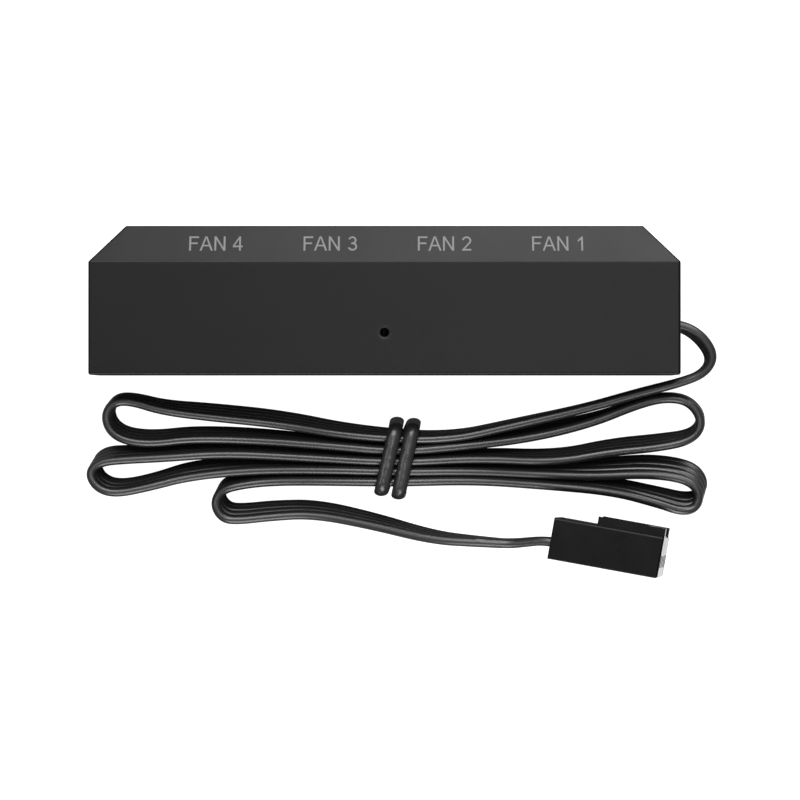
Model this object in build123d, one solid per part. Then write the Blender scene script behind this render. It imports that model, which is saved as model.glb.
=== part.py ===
from build123d import *
import math
import os

# Fan hub: a bevelled plastic box with four fan sockets at the rear and a tied ribbon lead.
# Millimetres. The origin is the middle of the hub's underside, +X runs along the hub towards
# the cable, +Y points to the fan sockets and +Z up. The hub is sized from its sockets outwards.

# Fan sockets: four-way headers with right-angle pins
pin_count = 4
pin_pitch = 2.54
pin_side = 0.64
pin_height = 3.0
pin_length = 6.9
pin_tail = 0.9
pin_taper = 0.15
pin_bend_radius = 0.6
pin_hole_diameter = 1.0
wafer_width = pin_count * pin_pitch
wafer_thickness = 3.0
wafer_height = 6.0
tab_width = 6.2
tab_length = 5.4
tab_thickness = 1.1
tab_gap = 0.35
tab_bump = 0.45
tab_bump_length = 1.6
socket_count = 4
socket_gap = 2.98
socket_pitch = wafer_width + socket_gap
end_socket_x = (socket_count - 1) * socket_pitch / 2
window_clearance = 0.37
window_width = wafer_width + 2 * window_clearance
window_height = 6.1
window_sill = 0.2

# Ribbon cable: four conductors side by side, standing on edge
conductor_pitch = 1.2
ribbon_thickness = 1.1
ribbon_width = pin_count * conductor_pitch
cable_exit_y = -2.7
cable_exit_z = 3.0
slot_clearance = 0.1
half_slot = ribbon_thickness / 2 + slot_clearance

# Conductor ends soldered to the board
core_diameter = 0.7
board_wire_gap = 1.21
board_wire_rise = 1.2
board_hole_diameter = 0.9

# Circuit board
board_edge = 1.0
board_depth = 10.0
board_thickness = 1.2
board_standoff = 1.2
board_front_gap = 0.2
board_end_gap = 0.4
leg_edge = 0.8
leg_offset = 1.1
board_wire_x = end_socket_x + wafer_width / 2 + board_wire_gap
board_length = 2 * (board_wire_x + board_edge)

# Screws, and the bosses that take them
boss_diameter = 4.4
boss_y = 2.0
boss_inset = 4.4
pilot_diameter = 1.8
pilot_depth = 6.5
screw_length = 6.0
screw_clearance = 0.03
screw_head_diameter = 3.8
recess_length = 2.0
recess_width = 0.5
recess_depth = 0.7
boss_x = board_length / 2 + board_end_gap + boss_diameter / 2

# Shell and base plate
wall = 1.6
edge_radius = 0.3
bevel_depth = 4.2
bevel_drop = 2.6
lintel = 1.1
pin_recess = 3.6
base_thickness = 1.6
base_clearance = 0.1
rebate_lip = 0.8
partition_clearance = 0.89
post_diameter = 3.0
post_inset = 1.7
peg_diameter = 1.6
peg_clearance = 0.1
peg_rise = 0.4
cradle_length = 2.2
cradle_wall = 1.3
cradle_height = 3.2

# Hub sizes that follow
board_bottom = base_thickness + board_standoff
board_top = board_bottom + board_thickness
window_bottom = board_top + window_sill
rear_height = window_bottom + window_height + lintel
hub_height = rear_height + bevel_drop
hub_length = 2 * (boss_x + boss_inset)
header_depth = leg_edge + leg_offset + wafer_thickness + pin_length
hub_depth = wall + board_front_gap + header_depth + pin_recess
front_y = -hub_depth / 2
rear_y = hub_depth / 2
crease_y = rear_y - bevel_depth
board_front_y = front_y + wall + board_front_gap
board_rear_y = board_front_y + board_depth
leg_y = board_front_y + leg_edge
wafer_back_y = leg_y + leg_offset
wafer_front_y = wafer_back_y + wafer_thickness
pin_z = board_top + pin_height

# Indicator under its hole in the top
indicator_setback = 4.88
indicator_hole_diameter = 1.05
indicator_rim_diameter = 1.6
chimney_clearance = 0.29
chimney_gap = 0.4
chip_length = 2.0
chip_width = 1.25
led_height = 0.8
lens_height = 0.3
lens_side_inset = 0.2
lens_end_inset = 0.4
lens_radius = 0.15
resistor_height = 0.5
resistor_gap = 1.2
end_cap_length = 0.4
end_cap_rise = 0.06
indicator_y = front_y + indicator_setback

# The cable's own frame starts on the floor below the point where it leaves the end wall
cable_frame = Pos(hub_length / 2, cable_exit_y, 0)
inlet_end = -1.0
inlet_length = 3.4

# Twist tie: one coated wire wound twice round the hank
tie_diameter = 1.45
tie_clearance = 0.1
tie_along = -32.4
tie_across = -15.63
run_spread = 5.5
tie_pitch = 2.0
tie_slant = 1.8
tie_corner_cut = 0.55
tie_end_lift = 0.9
tie_span = run_spread + ribbon_thickness + tie_diameter + 2 * tie_clearance
tie_lift = tie_diameter + tie_clearance

# Cable route in plan, chosen by hand: lead, hank of five runs, tail
lead_points = [
    (inlet_end, 0.0), (0.9, 0.0), (3.2, -1.2), (4.4, -3.6), (3.2, -6.0), (0.3, -7.1),
    (-4.3, -8.5), (-10.5, -9.9), (-18.5, -11.6), (-27.0, -12.85),
]
hank_points = [
    (-37.8, -12.9), (-46.0, -11.3), (-54.4, -10.15), (-60.0, -9.4), (-63.5, -8.8),
    (-65.7, -8.8), (-66.7, -10.3), (-66.1, -12.0), (-64.3, -13.0),
    (-61.0, -13.2), (-56.5, -12.8), (-49.0, -13.35), (-40.5, -14.05), (-32.4, -14.55),
    (-24.5, -13.9), (-16.5, -12.8), (-9.5, -11.6), (-4.6, -9.9), (-1.2, -9.0),
    (1.5, -9.15), (3.0, -11.0), (1.8, -13.2),
    (-2.0, -13.9), (-7.5, -14.5), (-14.0, -15.6), (-23.0, -15.85), (-32.4, -15.9),
    (-43.0, -15.4), (-52.5, -15.05), (-60.0, -15.25), (-64.0, -15.4),
    (-66.9, -15.7), (-68.1, -17.0), (-67.2, -18.5), (-65.2, -19.0),
    (-61.5, -18.3), (-56.5, -17.25), (-49.0, -16.8), (-40.5, -16.9), (-32.4, -17.15),
    (-24.0, -17.05), (-16.0, -17.25), (-9.0, -17.2), (-4.0, -16.8), (-0.4, -16.85),
    (1.9, -17.6), (2.9, -19.3), (2.5, -21.0), (1.0, -21.45),
    (-2.0, -20.4), (-7.2, -19.2), (-15.0, -18.65), (-23.5, -18.35), (-32.4, -18.38),
    (-40.0, -18.15), (-46.5, -18.2), (-50.3, -18.45),
    (-52.7, -19.1), (-53.4, -20.7), (-52.4, -21.9), (-50.6, -22.05),
]
tail_points = [
    (-47.2, -21.7), (-42.2, -21.75), (-35.5, -22.9), (-28.4, -24.6), (-23.4, -25.25),
    (-20.4, -25.45),
]
arc_share = 0.45

# Height of the ribbon's lower edge: against across for the lead, against along for the rest
tail_rise = 1.9
lead_profile = [(2.0, cable_exit_z), (-2.4, cable_exit_z), (-9.4, tie_lift), (-30.0, tie_lift)]
hank_profile = [
    (-80.0, 0.0), (-46.0, 0.0), (-37.0, tie_lift), (-27.8, tie_lift), (-17.5, 0.0), (12.0, 0.0),
]
tail_profile = [(-80.0, 0.0), (-40.0, 0.0), (-26.0, tail_rise), (-10.0, tail_rise)]
profile_radius = 12.0
profile_reach = 2 * hub_length

# Four-way plug, standing on its narrow side with its nose a little up
plug_length = 12.9
plug_thickness = 4.85
plug_width = pin_count * pin_pitch
plug_edge_radius = 0.25
nose_chamfer = 0.2
rib_height = 1.0
rib_length = 7.9
rib_width = 1.2
rib_inset = 0.3
rib_pitch = 6.8
row_offset = -0.5
cavity_side = 1.9
mouth_side = 1.4
mouth_length = 1.6
latch_window_start = 5.6
latch_window_length = 2.4
latch_window_width = 1.2
contact_clearance = 0.1
contact_wall = 0.25
barrel_start = 2.4
barrel_length = 2.6
barrel_diameter = 1.5
split_wire_diameter = 1.1
split_wire_lead = 1.0
plug_along = -13.57
plug_across = -24.95
plug_yaw = -10.1
plug_pitch = -7.0
plug_place = Pos(plug_along, plug_across, 0) * Rot(0, 0, plug_yaw) * Rot(0, plug_pitch, 0)


def span(low, high):
    """Box between two opposite corners."""
    size = Vector(*high) - Vector(*low)
    middle = (Vector(*high) + Vector(*low)) / 2
    return Pos(*middle) * Box(*size)


def upright(x, y, bottom, top, diameter):
    """Vertical cylinder between two heights."""
    return Pos(x, y, (bottom + top) / 2) * Cylinder(diameter / 2, top - bottom)


def spread(count, pitch):
    """Evenly pitched offsets about zero."""
    return [(i - (count - 1) / 2) * pitch for i in range(count)]


def socket_xs():
    """Places of the sockets along the hub."""
    return spread(socket_count, socket_pitch)


def hub_plan(inset=0.0):
    """Plan of the hub with its two rear corners cut, drawn in all round by an inset."""
    half = hub_length / 2
    corner = half - bevel_depth
    outline = Polyline(
        (-half, front_y), (half, front_y), (half, crease_y), (corner, rear_y),
        (-corner, rear_y), (-half, crease_y), close=True,
    )
    plan = make_face(outline)
    return offset(plan, -inset, kind=Kind.INTERSECTION) if inset else plan


def hub_profile(inset=0.0):
    """Cross-section of the hub with its label bevel, open far below the floor, as a long prism."""
    outline = Polyline(
        (front_y, -hub_height), (rear_y, -hub_height), (rear_y, rear_height),
        (crease_y, hub_height), (front_y, hub_height), close=True,
    )
    section = make_face(outline)
    if inset:
        section = offset(section, -inset, kind=Kind.INTERSECTION)
    return extrude(Plane.YZ * section, hub_length, both=True)


def make_housing():
    """Top shell: bevelled box, open below, with bosses, partitions and the indicator's chimney."""
    block = extrude(hub_plan(), hub_height) & hub_profile()
    block = fillet(block.edges().filter_by(lambda e: e.center().Z > 0), edge_radius)
    shell = block - (extrude(hub_plan(wall), hub_height) & hub_profile(wall))
    shell -= extrude(hub_plan(rebate_lip), base_thickness)

    chimney_bottom = board_top + led_height + lens_height + chimney_gap
    chimney_diameter = socket_gap - 2 * chimney_clearance
    inside = [upright(0, indicator_y, chimney_bottom, hub_height, chimney_diameter)]
    for x in (-boss_x, boss_x):
        inside.append(upright(x, boss_y, base_thickness, hub_height, boss_diameter))
    half_partition = socket_gap / 2 - partition_clearance
    for x in (-socket_pitch, socket_pitch):
        inside.append(span(
            (x - half_partition, front_y + wall / 2, board_top),
            (x + half_partition, wafer_front_y, hub_height),
        ))
    above_base = block - extrude(hub_plan(), base_thickness)
    for piece in inside:
        shell += piece & above_base

    for x in (-boss_x, boss_x):
        shell -= upright(x, boss_y, base_thickness, base_thickness + pilot_depth, pilot_diameter)
    shell -= upright(0, indicator_y, 0, hub_height, indicator_hole_diameter)
    rim_depth = (indicator_rim_diameter - indicator_hole_diameter) / 2
    shell -= Pos(0, indicator_y, hub_height - rim_depth / 2) * Cone(
        indicator_hole_diameter / 2, indicator_rim_diameter / 2, rim_depth
    )
    for x in socket_xs():
        shell -= span(
            (x - window_width / 2, rear_y - wall, window_bottom),
            (x + window_width / 2, rear_y + wall, window_bottom + window_height),
        )
    shell -= span(
        (hub_length / 2 - 2 * wall, cable_exit_y - half_slot, 0),
        (hub_length / 2 + wall, cable_exit_y + half_slot, cable_exit_z + ribbon_width + slot_clearance),
    )
    return shell


def post_places():
    """Plan places of the board's posts: two near its front edge, two near its rear edge."""
    front = board_front_y + post_inset
    rear = board_rear_y - post_inset
    return [(x, y) for y in (front, rear) for x in (-socket_pitch, socket_pitch)]


def peg_places():
    """Plan places of the pegs that locate the board, on the rear posts."""
    return post_places()[2:]


def screw_cone(gap):
    """Countersunk head's cone at the origin, its flat side down, with a gap all round."""
    wide = screw_head_diameter / 2 + gap
    narrow = pilot_diameter / 2 - screw_clearance + gap
    return Pos(0, 0, (wide - narrow) / 2) * Cone(wide, narrow, wide - narrow)


def make_base_plate():
    """Bottom cover with the board's posts, the cable's cradle and the screw holes."""
    plate = extrude(hub_plan(rebate_lip + base_clearance), base_thickness)
    for x, y in post_places():
        plate += upright(x, y, base_thickness, board_bottom, post_diameter)
    for x, y in peg_places():
        plate += upright(x, y, board_bottom, board_top + peg_rise, peg_diameter)
    tongue = half_slot - base_clearance / 2
    cradle_end = hub_length / 2 - wall - 2 * base_clearance
    cradle_start = cradle_end - cradle_length
    cradle_side = half_slot + cradle_wall
    plate += span(
        (cradle_start, cable_exit_y - cradle_side, 0),
        (cradle_end, cable_exit_y + cradle_side, cable_exit_z + cradle_height),
    )
    plate -= span(
        (cradle_start, cable_exit_y - half_slot, cable_exit_z),
        (cradle_end, cable_exit_y + half_slot, cable_exit_z + cradle_height),
    )
    plate += span(
        (cradle_start, cable_exit_y - tongue, 0),
        (hub_length / 2, cable_exit_y + tongue, cable_exit_z),
    )
    for x in (-boss_x, boss_x):
        plate -= Pos(x, boss_y, 0) * screw_cone(screw_clearance)
        plate -= upright(x, boss_y, 0, base_thickness, pilot_diameter)
    return plate


def make_base_screws():
    """Two countersunk self-tapping screws, heads flush with the underside."""
    shank = pilot_diameter - 2 * screw_clearance
    screw = screw_cone(0) + upright(0, 0, 0, screw_length, shank)
    for length, width in ((recess_length, recess_width), (recess_width, recess_length)):
        screw -= span((-length / 2, -width / 2, 0), (length / 2, width / 2, recess_depth))
    return Compound([Pos(x, boss_y, 0) * screw for x in (-boss_x, boss_x)])


def wire_ys():
    """Places across the board of the four conductor holes."""
    return [cable_exit_y + y for y in spread(pin_count, conductor_pitch)]


def make_circuit_board():
    """Board with holes for the pins, the conductor ends and the locating pegs."""
    half = board_length / 2
    board = span((-half, board_front_y, board_bottom), (half, board_rear_y, board_top))
    pins = spread(pin_count, pin_pitch)
    holes = [(x + pin, leg_y, pin_hole_diameter) for x in socket_xs() for pin in pins]
    holes += [(board_wire_x, y, board_hole_diameter) for y in wire_ys()]
    holes += [(x, y, peg_diameter + 2 * peg_clearance) for x, y in peg_places()]
    for x, y, diameter in holes:
        board -= upright(x, y, board_bottom, board_top, diameter)
    return board


def make_header(x):
    """Header body at a socket: the wafer that holds the pins, and the locking tab below them."""
    header = span(
        (x - wafer_width / 2, wafer_back_y, board_top),
        (x + wafer_width / 2, wafer_front_y, board_top + wafer_height),
    )
    tab_bottom = board_top + tab_gap
    tab_top = tab_bottom + tab_thickness
    tab_tip = wafer_front_y + tab_length
    ramp = Polyline(
        (wafer_front_y, tab_bottom), (tab_tip, tab_bottom), (tab_tip, tab_top),
        (tab_tip - tab_bump_length / 2, tab_top + tab_bump), (tab_tip - tab_bump_length, tab_top),
        (wafer_front_y, tab_top), close=True,
    )
    tab = extrude(Plane.YZ * make_face(ramp), tab_width / 2, both=True)
    header += Pos(x - pin_pitch / 2, 0, 0) * tab
    half = pin_side / 2
    for pin_x in (x + place for place in spread(pin_count, pin_pitch)):
        header -= span(
            (pin_x - half, wafer_back_y, pin_z - half), (pin_x + half, wafer_front_y, pin_z + half)
        )
    return header


def make_pins(x):
    """Four square pins of one socket, bent down through the board."""
    tip_y = wafer_front_y + pin_length
    centre = FilletPolyline(
        (tip_y, pin_z), (leg_y, pin_z), (leg_y, board_bottom - pin_tail), radius=pin_bend_radius
    )
    pin = extrude(Plane.YZ * trace(centre, pin_side), pin_side / 2, both=True)
    pin = chamfer(pin.faces().sort_by(Axis.Y)[-1].edges(), pin_taper)
    return Compound([Pos(x + place, 0, 0) * pin for place in spread(pin_count, pin_pitch)])


def make_status_led():
    """Surface-mount indicator with its low clear lens, on the board below the hole."""
    half_width = chip_width / 2
    half_length = chip_length / 2
    body = span((-half_width, -half_length, 0), (half_width, half_length, led_height))
    lens = span(
        (lens_side_inset - half_width, lens_end_inset - half_length, led_height),
        (half_width - lens_side_inset, half_length - lens_end_inset, led_height + lens_height),
    )
    lens = fillet(lens.faces().sort_by(Axis.Z)[-1].edges(), lens_radius)
    return Pos(0, indicator_y, board_top) * (body + lens)


def make_led_resistor():
    """Chip resistor beside the indicator, its two end caps a little proud."""
    half_width = chip_width / 2
    half_length = chip_length / 2
    middle = half_length - end_cap_length
    chip = span((-half_width, -half_length, 0), (half_width, half_length, resistor_height))
    chip -= span(
        (-half_width, -middle, resistor_height - end_cap_rise), (half_width, middle, resistor_height)
    )
    return Pos(0, indicator_y + chip_length + resistor_gap, board_top) * chip


def wire_along(path, diameter):
    """Round wire along a path, mitred where the path has corners."""
    section = Plane(path @ 0, z_dir=path % 0) * Circle(diameter / 2)
    return sweep(section, path, transition=Transition.RIGHT)


def make_board_wires():
    """Four bare conductor ends, from the ribbon's inner end down through the board."""
    start = hub_length / 2 + inlet_end - inlet_length
    heights = [cable_exit_z + ribbon_width / 2 + z for z in spread(pin_count, conductor_pitch)]
    wires = []
    for y, height in zip(wire_ys(), heights):
        path = Polyline(
            (start, cable_exit_y, height), (start - core_diameter, cable_exit_y, height),
            (board_wire_x, y, board_top + board_wire_rise), (board_wire_x, y, board_bottom - pin_tail),
        )
        wires.append(wire_along(path, core_diameter))
    return Compound(wires)


def make_cable_inlet():
    """The ribbon's straight end, held in the cradle inside the end wall."""
    half = ribbon_thickness / 2
    return cable_frame * span(
        (inlet_end - inlet_length, -half, cable_exit_z), (inlet_end, half, cable_exit_z + ribbon_width)
    )


def route(points):
    """Straight runs joined by tangent arcs, each arc as large as its two runs allow."""
    corners = [Vector(*p) for p in points]
    radii = []
    for before, here, after in zip(corners, corners[1:], corners[2:]):
        runs = (here - before, after - here)
        half_turn = math.radians(runs[0].get_angle(runs[1])) / 2
        radii.append(arc_share * min(run.length for run in runs) / math.tan(half_turn))
    return FilletPolyline(*points, radius=radii)


def beside(edge, share, distance):
    """Point at a share of an edge's length, moved square to it in plan."""
    return edge @ share + (edge % share).rotate(Axis.Z, 90) * distance


def ribbon(points, profile, plane):
    """Flat ribbon on edge: a strip along a route, cut between two heights of a side profile."""
    edges = route(points).order_edges()
    sides = []
    for distance in (ribbon_thickness / 2, -ribbon_thickness / 2):
        side = []
        for edge in edges:
            start, middle, end = (beside(edge, share, distance) for share in (0, 0.5, 1))
            straight = edge.geom_type == GeomType.LINE
            side.append(Line(start, end) if straight else ThreePointArc(start, middle, end))
        sides.append(side)
    left, right = sides
    caps = [Line(left[0] @ 0, right[0] @ 0), Line(left[-1] @ 1, right[-1] @ 1)]
    strip = extrude(make_face(left + right + caps), hub_height)

    lower = FilletPolyline(*profile, radius=profile_radius)
    upper = Pos(0, ribbon_width) * lower
    ends = [Line(lower @ 0, upper @ 0), Line(lower @ 1, upper @ 1)]
    section = make_face([*lower.edges(), *upper.edges(), *ends])
    slab = extrude(plane * section, profile_reach, both=True)
    return cable_frame * (strip & slab)


def midpoint(a, b):
    """Point halfway between two plan points."""
    return ((a[0] + b[0]) / 2, (a[1] + b[1]) / 2)


def make_cable():
    """The free ribbon as three solids that meet face to face: lead, hank and tail."""
    first_joint = midpoint(lead_points[-1], hank_points[0])
    second_joint = midpoint(hank_points[-1], tail_points[0])
    return {
        "cable_lead": ribbon(lead_points + [first_joint], lead_profile, Plane.YZ),
        "cable_hank": ribbon([first_joint] + hank_points + [second_joint], hank_profile, Plane.XZ),
        "cable_tail": ribbon([second_joint] + tail_points, tail_profile, Plane.XZ),
    }


def cut_corners(points, cut):
    """Polyline with each corner cut off at the same distance before and after it."""
    corners = [Vector(*point) for point in points]
    path = [corners[0]]
    for before, here, after in zip(corners, corners[1:], corners[2:]):
        path.append(here + (before - here).normalized() * cut)
        path.append(here + (after - here).normalized() * cut)
    return Polyline(*path, corners[-1])


def make_twist_tie():
    """One round wire, two slanted turns over the hank and one crossing under it."""
    low = tie_diameter / 2
    high = tie_lift + ribbon_width + tie_clearance + tie_diameter / 2
    back = tie_across + tie_span / 2
    front = tie_across - tie_span / 2
    near = tie_along - tie_pitch / 2
    far = tie_along + tie_pitch / 2
    lean = tie_slant / 2
    corners = [
        (near + lean, back, tie_end_lift), (near + lean, back, high), (near - lean, front, high),
        (near - lean, front, low), (far + lean, back, low), (far + lean, back, high),
        (far - lean, front, high), (far - lean, front, tie_end_lift),
    ]
    return cable_frame * wire_along(cut_corners(corners, tie_corner_cut), tie_diameter)


def cavity_heights():
    """Heights of the plug's four cavities above its lower narrow side."""
    return [plug_width / 2 + w for w in spread(pin_count, pin_pitch)]


def make_plug_housing():
    """Plug moulding: cavities through it, latch windows in one broad side, two ribs on the other."""
    half = plug_thickness / 2
    body = span((0, -half, 0), (plug_length, half, plug_width))
    body = fillet(body.edges().filter_by(Axis.X), plug_edge_radius)
    body = chamfer(body.faces().sort_by(Axis.X)[-1].edges(), nose_chamfer)
    rib_start = plug_length - rib_length
    rib_top = plug_width - rib_inset
    for top in (rib_top, rib_top - rib_pitch):
        body += span((rib_start, 0, top - rib_width), (plug_length, half + rib_height, top))
    window_end = latch_window_start + latch_window_length
    bores = [(plug_length - mouth_length, cavity_side / 2), (plug_length, mouth_side / 2)]
    for w in cavity_heights():
        for length, side in bores:
            body -= span((0, row_offset - side, w - side), (length, row_offset + side, w + side))
        body -= span(
            (latch_window_start, -half, w - latch_window_width / 2),
            (window_end, row_offset, w + latch_window_width / 2),
        )
    return cable_frame * plug_place * body


def make_plug_contacts():
    """Four crimped contacts: a barrel on the conductor and a square box that takes the pin."""
    side = cavity_side / 2 - contact_clearance
    hollow = side - contact_wall
    box_start = barrel_start + barrel_length
    box_end = plug_length - mouth_length
    contact = span((box_start, -side, -side), (box_end, side, side))
    contact -= span((box_start + contact_wall, -hollow, -hollow), (box_end, hollow, hollow))
    contact += Pos((barrel_start + box_start) / 2, 0, 0) * Rot(0, 90, 0) * Cylinder(
        barrel_diameter / 2, barrel_length
    )
    places = [cable_frame * plug_place * Pos(0, row_offset, w) for w in cavity_heights()]
    return Compound([place * contact for place in places])


def make_plug_wires():
    """The four conductors, split apart between the ribbon's end and the plug's cavities."""
    end = Vector(*tail_points[-1])
    ahead = (end - Vector(*tail_points[-2])).normalized() * split_wire_lead
    heights = [tail_rise + ribbon_width / 2 + z for z in spread(pin_count, conductor_pitch)]
    wires = []
    for height, w in zip(heights, cavity_heights()):
        start = end + Vector(0, 0, height)
        entry = (plug_place * Pos(-split_wire_lead, row_offset, w)).position
        stop = (plug_place * Pos(barrel_start, row_offset, w)).position
        path = Polyline(start, start + ahead, entry, stop)
        wires.append(wire_along(path, split_wire_diameter))
    return cable_frame * Compound(wires)


parts = {
    "housing": make_housing(),
    "base_plate": make_base_plate(),
    "base_screws": make_base_screws(),
    "circuit_board": make_circuit_board(),
    "status_led": make_status_led(),
    "led_resistor": make_led_resistor(),
    "board_wires": make_board_wires(),
    "cable_inlet": make_cable_inlet(),
    "twist_tie": make_twist_tie(),
    "plug_housing": make_plug_housing(),
    "plug_contacts": make_plug_contacts(),
    "plug_wires": make_plug_wires(),
}
parts.update(make_cable())
# Ports count down along +X, so the port beside the cable is number one
for number, x in enumerate(reversed(socket_xs()), start=1):
    parts[f"fan_header_{number}"] = make_header(x)
    parts[f"header_pins_{number}"] = make_pins(x)

os.makedirs("parts", exist_ok=True)
for name, shape in parts.items():
    export_step(shape, f"parts/{name}.step")
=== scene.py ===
"""Dresses the fan hub: shell, sockets and plug finishes, port labels, ribbon lead, tie and studio."""

import logging
import math
from dataclasses import dataclass, field
from enum import Enum
from typing import Iterable, Sequence

import bpy
import numpy as np
from mathutils import Matrix, Vector


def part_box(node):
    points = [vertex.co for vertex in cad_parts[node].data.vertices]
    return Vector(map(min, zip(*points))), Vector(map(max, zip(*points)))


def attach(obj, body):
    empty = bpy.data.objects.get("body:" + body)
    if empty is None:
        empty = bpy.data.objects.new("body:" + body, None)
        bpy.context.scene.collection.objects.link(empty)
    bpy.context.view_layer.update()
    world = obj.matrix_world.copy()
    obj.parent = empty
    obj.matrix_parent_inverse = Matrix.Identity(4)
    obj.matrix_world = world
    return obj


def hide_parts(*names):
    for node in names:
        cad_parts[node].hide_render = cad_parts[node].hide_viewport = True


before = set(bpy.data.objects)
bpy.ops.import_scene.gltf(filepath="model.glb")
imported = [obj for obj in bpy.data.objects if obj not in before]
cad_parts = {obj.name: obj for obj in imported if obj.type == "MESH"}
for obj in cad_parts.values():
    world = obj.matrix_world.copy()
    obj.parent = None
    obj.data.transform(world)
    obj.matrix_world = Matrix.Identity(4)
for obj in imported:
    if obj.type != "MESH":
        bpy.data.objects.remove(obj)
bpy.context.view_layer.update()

log = logging.getLogger("fan_hub")

Colour = tuple[float, float, float]
Point = tuple[float, float, float]
PlanPoint = tuple[float, float]

# Values between which nearly all of a noise lies.
NOISE_LOW = 0.3
NOISE_HIGH = 0.7
# Scale that drops heights, which leaves a plan.
PLAN_ONLY = (1.0, 1.0, 0.0)
# Largest turn between the points of a digit's bowl, in degrees.
BOWL_STEP = 10.0
WHITE = (1.0, 1.0, 1.0, 1.0)


class Coordinates(Enum):
    """Which coordinates a finish's pattern follows."""

    OBJECT = "Object"
    UV = "UV"


@dataclass
class NodeBench:
    """A node tree being wired up, with short calls for the nodes that finishes share."""

    tree: bpy.types.NodeTree

    def add(self, kind: str, **settings: object) -> bpy.types.Node:
        """Adds a node.

        Args:
            kind: The node's type name.
            **settings: Properties to set on it.

        Returns:
            The new node.
        """
        node = self.tree.nodes.new(kind)
        for name, value in settings.items():
            setattr(node, name, value)
        return node

    def join(self, source: bpy.types.NodeSocket, target: bpy.types.NodeSocket) -> None:
        """Links an output to an input."""
        self.tree.links.new(source, target)

    def noise(self, place: bpy.types.NodeSocket, grain: float, detail: float) -> bpy.types.NodeSocket:
        """Adds noise with grains of a real size.

        Args:
            place: Coordinates, in metres.
            grain: Size of the grains, in metres.
            detail: Number of finer layers on top.

        Returns:
            The noise value, about 0.5.
        """
        node = self.add("ShaderNodeTexNoise")
        node.inputs["Scale"].default_value = 1.0 / grain
        node.inputs["Detail"].default_value = detail
        self.join(place, node.inputs["Vector"])
        return node.outputs["Fac"]

    def spread(self, value: bpy.types.NodeSocket, low: float, high: float) -> bpy.types.NodeSocket:
        """Maps the middle of a noise to a range.

        Args:
            value: Noise value.
            low: Result where the noise is low.
            high: Result where the noise is high.

        Returns:
            The mapped value.
        """
        node = self.add("ShaderNodeMapRange")
        node.inputs["From Min"].default_value = NOISE_LOW
        node.inputs["From Max"].default_value = NOISE_HIGH
        node.inputs["To Min"].default_value = low
        node.inputs["To Max"].default_value = high
        self.join(value, node.inputs["Value"])
        return node.outputs["Result"]

    def tint(self, value: bpy.types.NodeSocket, dark: Colour, light: Colour) -> bpy.types.NodeSocket:
        """Blends between two colours.

        Args:
            value: Blend value, 0 for dark and 1 for light.
            dark: First colour.
            light: Second colour.

        Returns:
            The blended colour.
        """
        node = self.add("ShaderNodeValToRGB")
        node.color_ramp.elements[0].color = (*dark, 1.0)
        node.color_ramp.elements[1].color = (*light, 1.0)
        self.join(value, node.inputs["Fac"])
        return node.outputs["Color"]

    def bump(self, height: bpy.types.NodeSocket, relief: float) -> bpy.types.NodeSocket:
        """Adds a bump.

        Args:
            height: Height value from 0 to 1.
            relief: Real height of the bump, in metres.

        Returns:
            The bumped normal.
        """
        node = self.add("ShaderNodeBump")
        node.inputs["Strength"].default_value = 1.0
        node.inputs["Distance"].default_value = relief
        self.join(height, node.inputs["Height"])
        return node.outputs["Normal"]


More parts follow.
